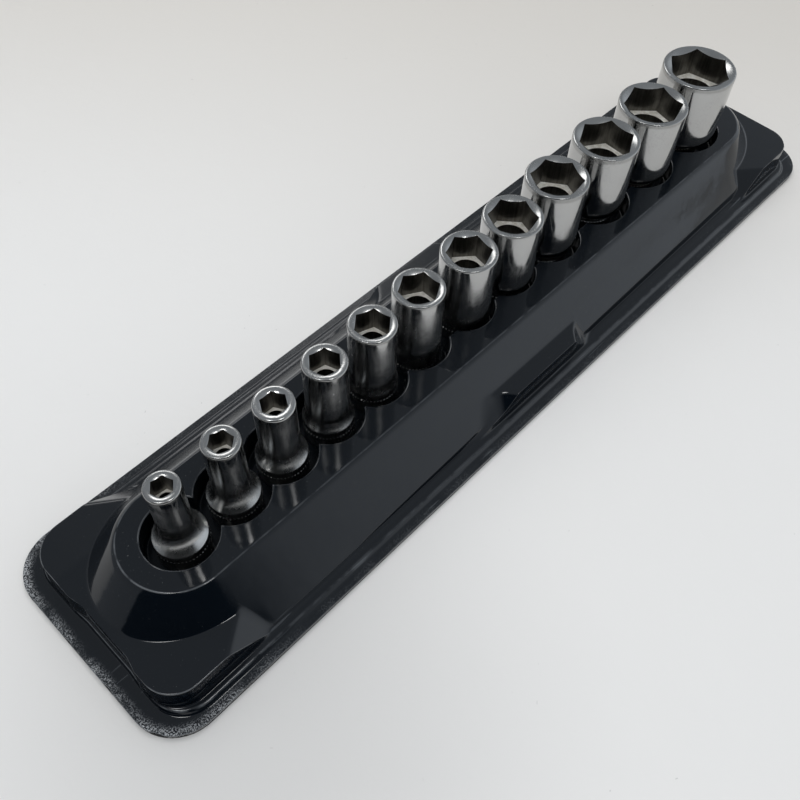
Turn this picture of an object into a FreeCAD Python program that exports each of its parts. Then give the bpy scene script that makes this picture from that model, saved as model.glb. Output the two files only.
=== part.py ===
"""Socket tray: a formed plastic tray with a magnet under its pockets and twelve drive sockets.

Millimetres, +Z up, +X towards the largest socket. The origin is the middle of the underside.
Each size below is a cell of the spreadsheet "sizes", and every feature is bound to those cells.
"""
import FreeCAD, Part
import math
import os
import Sketcher
from FreeCAD import Placement, Rotation, Vector

# name: (value, what it is)
SIZES = {
    "margin_left": (43.1, "tray edge to the smallest socket's axis"),
    "margin_right": (51.9, "largest socket's axis to the tray edge"),
    "tray_width": (86.0, "over the flange"),
    "flange_corner": (16.0, "plan radius of the flange corners"),
    "wall": (1.2, "formed sheet"),
    "cover_thickness": (0.8, "flat bottom sheet"),
    "ledge_height": (3.5, "top of the low step inside the flange"),
    "ledge_inset_end": (7.0, "flange edge to the low step, at the ends"),
    "ledge_inset_side": (3.2, "flange edge to the low step, at the sides"),
    "ledge_corner": (12.5, "plan radius of the low step"),
    "deck_height": (13.5, "top of the flat decks at both ends"),
    "deck_inset_end": (8.1, "flange edge to the deck's top edge, at the ends"),
    "deck_inset_side": (7.0, "flange edge to the deck's top edge, at the sides"),
    "deck_corner": (11.0, "plan radius of the decks"),
    "deck_draft": (0.7, "how far a deck wall leans out at its foot"),
    "valley_left": (46.3, "tray edge to the foot of the left ramp"),
    "valley_right": (50.3, "tray edge to the foot of the right ramp"),
    "ramp_run": (12.8, "length of each ramp from deck to low step"),
    "island_height": (25.0, "top of the raised island that holds the pockets"),
    "island_inset_end": (23.3, "tray edge to the island's top, at the ends"),
    "island_foot_inset": (11.0, "tray edge to the island's foot on the deck"),
    "island_half_left": (18.8, "half width of the island's top at the small end"),
    "island_half_right": (20.3, "half width of the island's top at the large end"),
    "skirt_half": (35.0, "half width at the foot of the sloped sides, on the low step"),
    "skirt_inset_end": (9.6, "tray edge to the slope's foot inside the decks"),
    "shelf_height": (12.0, "top of the flat finger shelf half way along each side"),
    "shelf_inset_side": (6.9, "flange edge to the shelf's front"),
    "shelf_left": (24.0, "tray middle to the shelf's left end"),
    "shelf_right": (16.0, "tray middle to the shelf's right end"),
    "shelf_ramp_left": (11.0, "run of the shelf's left ramp"),
    "shelf_ramp_right": (5.0, "run of the shelf's right ramp"),
    "pocket_depth": (9.5, "island top to the pocket floor"),
    "pocket_least": (12.3, "least radius of a pocket"),
    "pocket_play": (0.9, "least gap between a socket and its pocket wall"),
    "channel_width": (13.6, "slot along the row that joins the pockets"),
    "seat_gap": (0.05, "socket to pocket floor"),
    "magnet_width": (16.0, "bar magnets"),
    "magnet_thickness": (5.0, "bar magnets"),
    "magnet_spacing": (1.0, "between two bar magnets"),
    "magnet_overhang": (9.0, "magnet row past the end sockets' axes"),
    "keeper_thickness": (1.5, "steel bar behind the magnets"),
    "keeper_trim": (1.0, "magnet row's end to the keeper's end"),
    "foam_length": (36.0, "each foam block that presses the magnets up"),
    "foam_spread": (105.0, "middle of the tray to an outer foam block"),
    "drive_square": (9.6, "across the flats of the square drive hole"),
    "drive_depth": (11.0, "depth of the square drive hole"),
    "drive_web": (2.5, "metal left between drive hole and counterbore"),
    "drive_link": (4.6, "diameter of the hole through that web"),
    "base_diameter": (17.6, "least drive end diameter"),
    "neck_diameter": (19.6, "drive end diameter under a wide nose"),
    "base_height": (9.8, "drive end's cylinder, and where a wide nose begins"),
    "flare_radius": (9.0, "hollow curve from the drive end to a narrow nose"),
    "shoulder_drop": (4.0, "height of the rounding under a wide nose"),
    "edge_break": (0.5, "chamfer round both ends of a socket"),
    "lead_in_lip": (0.25, "lead-in cone past the hexagon's corners"),
    "lead_in_slope": (0.58, "fall of the lead-in cone for each unit of radius"),
}

# Each socket: hexagon across flats, nose diameter, length, hexagon depth,
# distance to the next socket, how far it stands off the row, and its turn in degrees.
SOCKETS = (
    (6.35, 11.00, 38.7, 8.0, 20.90, -0.2, 21.4),
    (7.14, 12.06, 38.8, 8.4, 20.20, -0.4, 10.5),
    (7.94, 13.39, 37.3, 8.8, 21.05, -0.3, 30.0),
    (9.53, 14.82, 38.1, 9.2, 20.95, -0.2, 18.9),
    (11.11, 16.45, 38.4, 9.7, 21.70, -0.1, 10.2),
    (12.70, 18.05, 38.3, 10.0, 24.80, -0.1, -0.3),
    (14.29, 20.25, 37.6, 10.3, 23.60, -0.4, -9.9),
    (15.88, 21.98, 38.0, 10.6, 25.90, -0.3, -19.7),
    (17.46, 23.95, 39.3, 10.9, 30.65, 0.5, -25.3),
    (19.05, 25.85, 39.2, 11.1, 30.65, 0.8, -3.5),
    (20.64, 27.41, 38.9, 11.4, 33.20, 0.4, -15.2),
    (22.23, 29.87, 39.1, 11.6, None, 0.4, 8.1),
)
SOCKET_SIZES = ("flats", "nose", "length", "hexdepth", "pitch", "offset", "turn")
MAGNETS = 4
FOAM_BLOCKS = 3

doc = FreeCAD.newDocument("socket_tray")
sheet = doc.addObject("Spreadsheet::Sheet", "sizes")
subparts = []


def fill_sheet():
    """One row for each size: its name, its plain number and what it is."""
    rows = [(name, value, note) for name, (value, note) in SIZES.items()]
    for number, socket in enumerate(SOCKETS, 1):
        for name, value in zip(SOCKET_SIZES, socket):
            if value is not None:
                rows.append((f"{name}_{number:02d}", value, f"socket {number}"))
    for row, (name, value, note) in enumerate(rows, 1):
        sheet.set(f"A{row}", name)
        sheet.set(f"B{row}", str(value))
        sheet.set(f"C{row}", note)
        sheet.setAlias(f"B{row}", name)
    doc.recompute()


def size(name):
    """The expression that reads one cell."""
    return f"sizes.{name}"


def number_of(expression):
    """The value that an expression has now."""
    value = sheet.evalExpression(str(expression).replace("sizes.", ""))
    return float(getattr(value, "Value", value))


def bind(item, **properties):
    """Bind an object's properties to expressions; two underscores stand for a dot."""
    for name, expression in properties.items():
        item.setExpression(name.replace("__", "."), str(expression))


# ---------------------------------------------------------------- places that pieces share
def row_length():
    """From the first socket's axis to the last one's."""
    pitches = [size(f"pitch_{number:02d}") for number in range(1, len(SOCKETS))]
    return "(" + " + ".join(pitches) + ")"


def half_length():
    return f"(({size('margin_left')} + {row_length()} + {size('margin_right')}) / 2)"


def socket_x(number):
    """A socket's place along the tray."""
    before = [size(f"pitch_{earlier:02d}") for earlier in range(1, number)]
    steps = " + ".join([size("margin_left")] + before)
    return f"({steps} - {half_length()})"


def pocket_radius(number):
    """A pocket clears its socket all round, and none is smaller than the least pocket."""
    stray = f"abs({size(f'offset_{number:02d}')})"
    nose = f"{size(f'nose_{number:02d}')} / 2"
    base = f"{size('base_diameter')} / 2"
    return f"max({size('pocket_least')}; max({nose}; {base}) + {stray} + {size('pocket_play')})"


FLOOR = f"({size('island_height')} - {size('pocket_depth')})"
CUP_UNDERSIDE = f"({FLOOR} - {size('wall')})"
MAGNET_UNDERSIDE = f"({CUP_UNDERSIDE} - {size('magnet_thickness')})"
KEEPER_UNDERSIDE = f"({MAGNET_UNDERSIDE} - {size('keeper_thickness')})"


# ---------------------------------------------------------------- sketches
def origin_plane(body, role):
    for feature in body.Origin.OriginFeatures:
        if feature.Role == role:
            return feature
    raise ValueError(role)


def add_sketch(body, name, role="XY_Plane", lift="0"):
    """A sketch on one of the body's origin planes, lifted along the plane's normal."""
    sketch = body.newObject("Sketcher::SketchObject", name)
    sketch.AttachmentSupport = [(origin_plane(body, role), "")]
    sketch.MapMode = "FlatFace"
    bind(sketch, AttachmentOffset__Base__z=lift)
    return sketch


def constrain(sketch, kind, *arguments, expression=None):
    """Add one constraint, bound to an expression if one is given."""
    if expression is None:
        return sketch.addConstraint(Sketcher.Constraint(kind, *arguments))
    value = number_of(expression)
    index = sketch.addConstraint(Sketcher.Constraint(kind, *arguments, value))
    sketch.setExpression(f"Constraints[{index}]", str(expression))
    return index


def place_point(sketch, item, end, x, y):
    """Hold one end of a line or arc, or an arc's centre, at expressions x and y."""
    for kind, expression, axis in (("DistanceX", x, -2), ("DistanceY", y, -1)):
        value = number_of(expression)
        if abs(value) < 1e-9:
            constrain(sketch, "PointOnObject", item, end, axis)
        elif value > 0:
            constrain(sketch, kind, -1, 1, item, end, expression=expression)
        else:
            constrain(sketch, kind, item, end, -1, 1, expression=f"-({expression})")


def outline(sketch, points, arcs=None):
    """A closed outline through points given as expressions.

    arcs maps the number of a point to (radius, bulge): the edge from that point to the next is
    an arc of that radius, which passes left of the straight way for a bulge of 1, right for -1.
    """
    arcs = arcs or {}
    corners = [Vector(number_of(x), number_of(y), 0) for x, y in points]
    for index, start in enumerate(corners):
        end = corners[(index + 1) % len(corners)]
        if index in arcs:
            radius, bulge = number_of(arcs[index][0]), arcs[index][1]
            chord = end - start
            across = Vector(-chord.y, chord.x, 0).normalize() * bulge
            sagitta = radius - math.sqrt(radius ** 2 - (chord.Length / 2) ** 2)
            through = (start + end) / 2 + across * sagitta
            curve = Part.Arc(start, through, end)
            sketch.addGeometry(curve, False)
        else:
            sketch.addGeometry(Part.LineSegment(start, end), False)
    ends = [arc_ends(sketch, index, corners) for index in range(len(corners))]
    for index in range(len(corners)):
        following = (index + 1) % len(corners)
        constrain(sketch, "Coincident", index, ends[index][1], following, ends[following][0])
        place_point(sketch, index, ends[index][0], *points[index])
    for index, (radius, _) in arcs.items():
        constrain(sketch, "Radius", index, expression=radius)


def arc_ends(sketch, index, corners):
    """Which end of an edge comes first: an arc's ends are numbered anticlockwise."""
    first = sketch.getPoint(index, 1)
    forward = (first - corners[index]).Length < 1e-6
    return (1, 2) if forward else (2, 1)


def rounded_rectangle(sketch, half_x, half_y, corner):
    """A rectangle about the origin with four equal round corners."""
    inner_x = f"({half_x} - {corner})"
    inner_y = f"({half_y} - {corner})"
    points = []
    for sign_x, sign_y in ((1, -1), (1, 1), (-1, 1), (-1, -1)):
        beside = (f"{sign_x} * {half_x}", f"{sign_y} * {inner_y}")
        above = (f"{sign_x} * {inner_x}", f"{sign_y} * {half_y}")
        points += [above, beside] if sign_x * sign_y < 0 else [beside, above]
    outline(sketch, points, {index: (corner, -1) for index in (0, 2, 4, 6)})


def stadium(sketch, left, left_radius, right, right_radius):
    """Two round ends on the X axis, joined by the lines that touch them both."""
    x_left, x_right = number_of(left), number_of(right)
    r_left, r_right = number_of(left_radius), number_of(right_radius)
    lean = math.asin((r_right - r_left) / (x_right - x_left))
    upper, lower = math.pi / 2 + lean, -math.pi / 2 - lean
    touch = {}
    for name, x, radius in (("left", x_left, r_left), ("right", x_right, r_right)):
        for side, angle in (("upper", upper), ("lower", lower)):
            reach = Vector(radius * math.cos(angle), radius * math.sin(angle), 0)
            touch[name, side] = Vector(x, 0, 0) + reach
    right_circle = Part.Circle(Vector(x_right, 0, 0), Vector(0, 0, 1), r_right)
    left_circle = Part.Circle(Vector(x_left, 0, 0), Vector(0, 0, 1), r_left)
    sketch.addGeometry(Part.LineSegment(touch["left", "lower"], touch["right", "lower"]), False)
    sketch.addGeometry(Part.ArcOfCircle(right_circle, lower, upper), False)
    sketch.addGeometry(Part.LineSegment(touch["right", "upper"], touch["left", "upper"]), False)
    sketch.addGeometry(Part.ArcOfCircle(left_circle, upper, lower + 2 * math.pi), False)
    for index in range(4):
        constrain(sketch, "Tangent", index, 2, (index + 1) % 4, 1)
    place_point(sketch, 1, 3, right, "0")
    place_point(sketch, 3, 3, left, "0")
    constrain(sketch, "Radius", 1, expression=right_radius)
    constrain(sketch, "Radius", 3, expression=left_radius)


def add_loft(body, name, profile, *sections):
    loft = body.newObject("PartDesign::AdditiveLoft", name)
    loft.Profile = profile
    loft.Sections = list(sections)
    loft.Ruled = True
    profile.Visibility = False
    return loft


def add_pocket(body, name, profile, depth, upwards=False):
    """Cut a profile into the body; without a depth the cut goes right through."""
    pocket = body.newObject("PartDesign::Pocket", name)
    pocket.Profile = profile
    pocket.Reversed = upwards
    if depth is None:
        pocket.Type = "ThroughAll"
    else:
        bind(pocket, Length=depth)
    return pocket


def check_cut(body, before, what):
    """A cut that misses the solid shows no error, so its volume is compared."""
    doc.recompute()
    if body.Shape.Volume >= before - 1e-6:
        raise RuntimeError(f"{what} removed nothing")


# ---------------------------------------------------------------- the tray's formed sheet
def formed_block(name, inset):
    """The tray's relief as a solid. The inset is 0 outside and one wall inside the sheet."""
    body = doc.addObject("PartDesign::Body", name)
    underside = size("cover_thickness") if inset == "0" else "0"
    ledge_top = f"({size('ledge_height')} - {inset})"
    deck_top = f"({size('deck_height')} - {inset})"
    island_top = f"({size('island_height')} - {inset})"
    half_width = f"({size('tray_width')} / 2)"

    def plan(sketch, end, side, corner, lean="0"):
        half_x = f"({half_length()} - {size(end)} + {lean} - {inset})"
        half_y = f"({half_width} - {size(side)} + {lean} - {inset})"
        rounded_rectangle(sketch, half_x, half_y, f"({size(corner)} + {lean} - {inset})")

    low = add_sketch(body, f"{name}_ledge_plan", lift=underside)
    plan(low, "ledge_inset_end", "ledge_inset_side", "ledge_corner")
    ledge = body.newObject("PartDesign::Pad", f"{name}_ledge")
    ledge.Profile = low
    bind(ledge, Length=f"{ledge_top} - {underside}")

    foot = add_sketch(body, f"{name}_deck_foot", lift=ledge_top)
    plan(foot, "deck_inset_end", "deck_inset_side", "deck_corner", size("deck_draft"))
    top = add_sketch(body, f"{name}_deck_top", lift=deck_top)
    plan(top, "deck_inset_end", "deck_inset_side", "deck_corner")
    add_loft(body, f"{name}_decks", foot, top)
    doc.recompute()

    # The long sides lie lower between the decks, and a ramp leads down from each deck.
    before = body.Shape.Volume
    left = f"({size('valley_left')} - {half_length()} - {inset})"
    right = f"({half_length()} - {size('valley_right')} + {inset})"
    valley = add_sketch(body, f"{name}_valley_side", "XZ_Plane")
    run = size("ramp_run")
    outline(valley, (
        (left, ledge_top), (right, ledge_top),
        (f"({right} + {run})", deck_top), (f"({right} + {run})", f"({deck_top} + 1)"),
        (f"({left} - {run})", f"({deck_top} + 1)"), (f"({left} - {run})", deck_top)))
    cut = add_pocket(body, f"{name}_valley", valley, None)
    cut.Midplane = True
    check_cut(body, before, "valley")

    # A flat finger shelf stands against each side half way along, with a ramp at both ends.
    shelf_top = f"({size('shelf_height')} - {inset})"
    shelf = add_sketch(body, f"{name}_shelf_side", "XZ_Plane")
    shelf_left = f"({size('shelf_left')} - {inset})"
    shelf_right = f"({size('shelf_right')} - {inset})"
    outline(shelf, (
        (f"-({shelf_left} + {size('shelf_ramp_left')})", underside),
        (f"({shelf_right} + {size('shelf_ramp_right')})", underside),
        (f"({shelf_right} + {size('shelf_ramp_right')})", ledge_top),
        (shelf_right, shelf_top), (f"-{shelf_left}", shelf_top),
        (f"-({shelf_left} + {size('shelf_ramp_left')})", ledge_top)))
    pad = body.newObject("PartDesign::Pad", f"{name}_shelf")
    pad.Profile = shelf
    pad.Midplane = True
    bind(pad, Length=f"{size('tray_width')} - 2 * {size('shelf_inset_side')} - 2 * {inset}")

    # The island stands over the decks and the low sides, with round ends at three levels.
    def island(part, lift, end, left_radius, right_radius):
        sketch = add_sketch(body, f"{name}_island_{part}", lift=lift)
        left_x = f"({size(end)} + {inset} + {left_radius} - {half_length()})"
        right_x = f"({half_length()} - {size(end)} - {inset} - {right_radius})"
        stadium(sketch, left_x, left_radius, right_x, right_radius)
        return sketch

    def half_at_deck(end):
        """Half width, at deck height, of the side that slopes from the top to the low step."""
        top_half = size(f"island_half_{end}")
        fall = f"({size('island_height')} - {size('ledge_height')})"
        drop = f"({size('island_height')} - {size('deck_height')})"
        return f"({top_half} + ({size('skirt_half')} - {top_half}) * {drop} / {fall} - {inset})"

    skirt = f"({size('skirt_half')} - {inset})"
    lowest = island("low", ledge_top, "skirt_inset_end", skirt, skirt)
    middle = island("middle", deck_top, "island_foot_inset",
                    half_at_deck("left"), half_at_deck("right"))
    crown = island("top", island_top, "island_inset_end",
                   f"({size('island_half_left')} - {inset})",
                   f"({size('island_half_right')} - {inset})")
    add_loft(body, f"{name}_island", lowest, middle, crown)
    doc.recompute()
    return body


def flat_sheet(name, lift, thickness):
    """A flat sheet with the tray's outer outline."""
    body = doc.addObject("PartDesign::Body", name)
    sketch = add_sketch(body, f"{name}_plan", lift=lift)
    half_width = f"({size('tray_width')} / 2)"
    rounded_rectangle(sketch, half_length(), half_width, size("flange_corner"))
    pad = body.newObject("PartDesign::Pad", f"{name}_sheet")
    pad.Profile = sketch
    bind(pad, Length=thickness)
    return body


def pocket_shapes(name, extra, bottom):
    """The pockets and the slot that joins them, as upright solids up to the island's top."""
    height = f"{size('island_height')} - {bottom}"
    solids = []
    for number in range(1, len(SOCKETS) + 1):
        cylinder = doc.addObject("Part::Cylinder", f"{name}_{number:02d}")
        bind(cylinder, Radius=f"{pocket_radius(number)} + {extra}", Height=height,
             Placement__Base__x=socket_x(number), Placement__Base__z=bottom)
        solids.append(cylinder)
    channel = doc.addObject("Part::Box", f"{name}_channel")
    half_width = f"({size('channel_width')} / 2 + {extra})"
    bind(channel, Length=row_length(), Width=f"2 * {half_width}", Height=height,
         Placement__Base__x=socket_x(1), Placement__Base__y=f"-{half_width}",
         Placement__Base__z=bottom)
    return solids + [channel]


def join(name, pieces):
    fused = doc.addObject("Part::MultiFuse", name)
    fused.Shapes = pieces
    return fused


def subtract(name, base, tool):
    cut = doc.addObject("Part::Cut", name)
    cut.Base = base
    cut.Tool = tool
    return cut


def make_tray():
    """The formed sheet: relief outside, relief one wall smaller inside, and twelve cups."""
    relief = formed_block("relief", "0")
    hollow = formed_block("hollow", size("wall"))
    flange = flat_sheet("flange", size("cover_thickness"), size("wall"))
    sheet_form = subtract("formed_sheet", join("relief_and_flange", [relief, flange]), hollow)
    cups = pocket_shapes("cup", size("wall"), CUP_UNDERSIDE)
    holes = join("pocket_holes", pocket_shapes("pocket", "0", FLOOR))
    subparts.append(subtract("tray_shell", join("sheet_with_cups", [sheet_form] + cups), holes))
    subparts.append(flat_sheet("bottom_cover", "0", size("cover_thickness")))


# ---------------------------------------------------------------- what the tray holds inside
def make_bar(name, x, length, bottom, thickness):
    """A bar under the pockets, centred across the tray, from x along +X."""
    bar = doc.addObject("Part::Box", name)
    bind(bar, Length=length, Width=size("magnet_width"), Height=thickness,
         Placement__Base__x=x, Placement__Base__y=f"-{size('magnet_width')} / 2",
         Placement__Base__z=bottom)
    subparts.append(bar)


def make_magnets():
    """A row of bar magnets on the cups' undersides, a steel bar behind them, and foam."""
    row_start = f"({socket_x(1)} - {size('magnet_overhang')})"
    row_size = f"({row_length()} + 2 * {size('magnet_overhang')})"
    spacing = size("magnet_spacing")
    length = f"(({row_size} - {MAGNETS - 1} * {spacing}) / {MAGNETS})"
    for number in range(MAGNETS):
        start = f"{row_start} + {number} * ({length} + {spacing})"
        make_bar(f"bar_magnet_{number + 1}", start, length, MAGNET_UNDERSIDE,
                 size("magnet_thickness"))
    make_bar("keeper_bar", f"{row_start} + {size('keeper_trim')}",
             f"{row_size} - 2 * {size('keeper_trim')}", KEEPER_UNDERSIDE,
             size("keeper_thickness"))
    for number in range(FOAM_BLOCKS):
        side = number - (FOAM_BLOCKS - 1) // 2
        middle = f"{row_start} + {row_size} / 2 + {side} * {size('foam_spread')}"
        make_bar(f"foam_block_{number + 1}", f"{middle} - {size('foam_length')} / 2",
                 size("foam_length"), size("cover_thickness"),
                 f"{KEEPER_UNDERSIDE} - {size('cover_thickness')}")


# ---------------------------------------------------------------- sockets
def turned_outline(sketch, number):
    """Half of a socket's section, from its axis outwards, drive end at the bottom."""
    nose = f"({size(f'nose_{number:02d}')} / 2)"
    flats = size(f"flats_{number:02d}")
    length = size(f"length_{number:02d}")
    edge = size("edge_break")
    lead = f"({flats} / sqrt(3) + {size('lead_in_lip')})"
    dish = f"({length} - {lead} * {size('lead_in_slope')})"
    wide = number_of(nose) > number_of(f"{size('base_diameter')} / 2")
    foot = f"({size('neck_diameter' if wide else 'base_diameter')} / 2)"
    foot = f"min({foot}; {nose})" if wide else foot
    shoulder = size("base_height")
    bottom = [("0", "0"), (f"({foot} - {edge})", "0"), (foot, edge)]
    top = [(nose, f"({length} - {edge})"), (f"({nose} - {edge})", length), (lead, length),
           ("0", dish)]
    if wide:
        # A wide nose rounds in under its shoulder towards the drive end.
        neck = f"({shoulder} - {size('shoulder_drop')})"
        middle = [(foot, neck), (nose, shoulder)]
        outline(sketch, bottom + middle + top)
        return
    # A narrow nose grows out of the drive end through a hollow curve.
    radius, step = size("flare_radius"), f"({foot} - {nose})"
    rise = f"sqrt(2 * {radius} * {step} - {step} ^ 2)"
    middle = [(foot, shoulder), (nose, f"({shoulder} + {rise})")]
    outline(sketch, bottom + middle + top, {3: (radius, 1)})


def regular_hexagon(sketch, flats):
    """A hexagon about the origin, with two corners on the sketch's Y axis."""
    half, low, high = f"({flats} / 2)", f"({flats} / sqrt(12))", f"({flats} / sqrt(3))"
    outline(sketch, ((half, f"-{low}"), (half, low), ("0", high),
                     (f"-{half}", low), (f"-{half}", f"-{low}"), ("0", f"-{high}")))


def circle(sketch, diameter):
    sketch.addGeometry(Part.Circle(Vector(0, 0, 0), Vector(0, 0, 1), number_of(diameter) / 2))
    constrain(sketch, "Coincident", 0, 3, -1, 1)
    constrain(sketch, "Diameter", 0, expression=diameter)


def make_socket(number):
    """A socket: turned body, hexagon above, counterbore and square drive hole below."""
    name = f"socket_{number:02d}"
    body = doc.addObject("PartDesign::Body", name)
    section = add_sketch(body, f"{name}_section", "XZ_Plane")
    turned_outline(section, number)
    turned = body.newObject("PartDesign::Revolution", f"{name}_turned")
    turned.Profile = section
    turned.ReferenceAxis = (section, ["V_Axis"])
    turned.Angle = 360
    doc.recompute()
    flats = size(f"flats_{number:02d}")
    length = size(f"length_{number:02d}")
    hex_floor = f"{length} - {size(f'hexdepth_{number:02d}')}"
    drive_top = size("drive_depth")

    def cut(part, draw, lift, depth, upwards=False):
        before = body.Shape.Volume
        sketch = add_sketch(body, f"{name}_{part}_outline", lift=lift)
        draw(sketch)
        add_pocket(body, f"{name}_{part}", sketch, depth, upwards)
        check_cut(body, before, f"{name} {part}")

    cut("hexagon", lambda sketch: regular_hexagon(sketch, flats), length,
        size(f"hexdepth_{number:02d}"))
    counterbore = f"{flats} * 0.8"
    cut("counterbore", lambda sketch: circle(sketch, counterbore), hex_floor,
        f"{hex_floor} - {drive_top} - {size('drive_web')}")
    half = f"({size('drive_square')} / 2)"
    square = ((half, f"-{half}"), (half, half), (f"-{half}", half), (f"-{half}", f"-{half}"))
    cut("drive", lambda sketch: outline(sketch, square), "0", drive_top, upwards=True)
    cut("link", lambda sketch: circle(sketch, size("drive_link")), drive_top,
        size("drive_web"), upwards=True)
    turn = number_of(size(f"turn_{number:02d}"))
    body.Placement = Placement(Vector(0, 0, 0), Rotation(Vector(0, 0, 1), turn))
    bind(body, Placement__Base__x=socket_x(number),
         Placement__Base__y=size(f"offset_{number:02d}"),
         Placement__Base__z=f"{FLOOR} + {size('seat_gap')}")
    subparts.append(body)


# ---------------------------------------------------------------- the whole tray
def check_document():
    doc.recompute()
    for item in doc.Objects:
        if "Invalid" in item.State or "Error" in item.State:
            raise RuntimeError(f"{item.Name}: {item.State}")
    for item in subparts:
        if item.Shape.isNull() or not item.Shape.isValid():
            raise RuntimeError(f"{item.Name} has no valid shape")


def export():
    os.makedirs("parts", exist_ok=True)
    for item in subparts:
        item.Label = item.Name
        item.Shape.exportStep(f"parts/{item.Label}.step")
        box = item.Shape.BoundBox
        print(f"{item.Label}: {len(item.Shape.Solids)} solid, {item.Shape.Volume:.0f} mm3, "
              f"x {box.XMin:.2f}..{box.XMax:.2f} y {box.YMin:.2f}..{box.YMax:.2f} "
              f"z {box.ZMin:.2f}..{box.ZMax:.2f}")


fill_sheet()
make_tray()
make_magnets()
for socket_number in range(1, len(SOCKETS) + 1):
    make_socket(socket_number)
check_document()
export()
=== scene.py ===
import bisect
import math

import bmesh
import bpy
from mathutils import Matrix, Vector
from mathutils.geometry import delaunay_2d_cdt


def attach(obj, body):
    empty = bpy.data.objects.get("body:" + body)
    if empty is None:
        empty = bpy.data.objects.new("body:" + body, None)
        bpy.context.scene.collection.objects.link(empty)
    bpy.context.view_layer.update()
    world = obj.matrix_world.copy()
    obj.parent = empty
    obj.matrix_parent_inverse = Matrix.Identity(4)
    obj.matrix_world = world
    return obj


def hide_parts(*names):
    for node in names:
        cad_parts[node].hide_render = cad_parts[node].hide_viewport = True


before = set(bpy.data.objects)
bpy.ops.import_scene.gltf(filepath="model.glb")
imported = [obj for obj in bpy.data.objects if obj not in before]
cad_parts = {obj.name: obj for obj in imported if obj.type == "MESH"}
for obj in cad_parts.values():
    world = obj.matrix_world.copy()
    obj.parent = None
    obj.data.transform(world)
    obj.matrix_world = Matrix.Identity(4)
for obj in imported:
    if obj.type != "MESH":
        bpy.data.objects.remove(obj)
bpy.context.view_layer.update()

# ---------------------------------------------------------------- the formed tray
# One sheet of glossy black plastic, drawn by vacuum over a mould: a flange all round, a low step,
# a flat deck at each end, a lower valley along both sides, and an island that holds the pockets.
# x runs along the row, from the small sockets to the large ones.
MM = 0.001                          # shapes are given in millimetres, materials work in metres
MERGE = 0.002                       # points closer than this become one
UNDERSIDE, FLANGE_TOP, LEDGE_Z, VALLEY_Z = 0.8, 2.0, 3.5, 3.65
SHELF_Z, DECK_Z, BEVEL_Z, CROWN_Z = 12.0, 13.5, 24.0, 25.0
TURN_X = 138.0                      # beyond this the rings of the sheet turn round the ends
ALONG_STEPS, TURN_STEPS = 320, 176
FARTHEST = 70.0                     # no part of the sheet lies farther out along a station
HALVINGS = 34

# The left end is drawn in between these two y, and the dent fades out over these lengths.
DENT_Y, DENT_FADE = (-20, 13), (5, 6)
SHORT_WAVE, LONG_WAVE = 0.9, 0.31   # wander of the cut edge, in radians for each millimetre
CROWN_ENDS = ((-142.2, 18.8), (140.7, 20.3))    # middle and radius of the top's two round ends
SKIRT_ENDS = (-141.0, 132.4)


def clamp(value):
    return min(max(value, 0), 1)


def read_off(table, x):
    """A value read off a short table of (x, value), straight between its entries."""
    places = [place for place, _ in table]
    at = min(max(bisect.bisect_right(places, x), 1), len(table) - 1)
    (x0, low), (x1, high) = table[at - 1], table[at]
    return low + (high - low) * clamp((x - x0) / (x1 - x0))


def in_rounded(half_x, half_y, corner, dent=0.0, wander=0.0):
    """A rounded rectangle; the sheet drew in a little along the left end, and its cut edge wanders."""
    def inside(x, y):
        end = half_x
        if x < 0:
            end -= dent * clamp((y - DENT_Y[0]) / DENT_FADE[0]) * clamp((DENT_Y[1] - y) / DENT_FADE[1])
            swell = (0.4 + 0.6 * math.sin(y * LONG_WAVE)) ** 2
            end -= wander * (0.5 + 0.5 * math.sin(y * SHORT_WAVE + 1.3)) * swell
        return math.hypot(max(abs(x) - end + corner, 0), max(abs(y) - half_y + corner, 0)) <= corner
    return inside


def in_crown(grow):
    """The island's top, a little wider at the large end, with round ends."""
    (left_x, left), (right_x, right) = CROWN_ENDS

    def inside(x, y):
        if x < left_x:
            return math.hypot(x - left_x, y) <= left + grow
        if x > right_x:
            return math.hypot(x - right_x, y) <= right + grow
        return abs(y) <= left + grow + (right - left) * (x - left_x) / (right_x - left_x)
    return inside


def in_skirt(left_run, right_run, widths):
    """The island's side at one height: round ends, and its half width along the row."""
    left_x, right_x = SKIRT_ENDS

    def inside(x, y):
        half = read_off(widths, x)
        if x < left_x:
            return math.hypot((x - left_x) / left_run, y / half) <= 1
        if x > right_x:
            return math.hypot((x - right_x) / right_run, y / half) <= 1
        return abs(y) <= half
    return inside


def last_true(low, high, holds):
    """The last value between low and high for which something still holds, found by halving."""
    for _ in range(HALVINGS):
        middle = (low + high) / 2
        if holds(middle):
            low = middle
        else:
            high = middle
    return low


def reach(station, inside):
    """How far out along a station its loop lies."""
    (ox, oy), (dx, dy) = station
    return last_true(0.0, FARTHEST, lambda out: inside(ox + dx * out, oy + dy * out))


def soft_max(a, b, width):
    """The larger of two, with a soft run between them where they differ by less than the width."""
    share = max(width - abs(a - b), 0) / width
    return max(a, b) + share * share * width / 4


def soft_min(a, b, width):
    return -soft_max(-a, -b, width)


# Each sloping face is a point on it, as x, distance from the middle line and height, and how much
# it falls for each millimetre along x and away from the middle line.
LEFT_RAMP = (-139.7, 25.3, DECK_Z, 0.664, 0.899)
RIGHT_RAMP = (140.1, 28.2, DECK_Z, -0.858, 1.056)
SHELF_LEFT = ((-29.8, 29.2, SHELF_Z, -0.22, 0.90), (-23.3, 30.7, SHELF_Z, -0.72, 0.585))
SHELF_RIGHT = ((24.1, 28.7, SHELF_Z, 0.56, 1.17), (19.3, 31.0, SHELF_Z, 1.46, 1.37))

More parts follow.
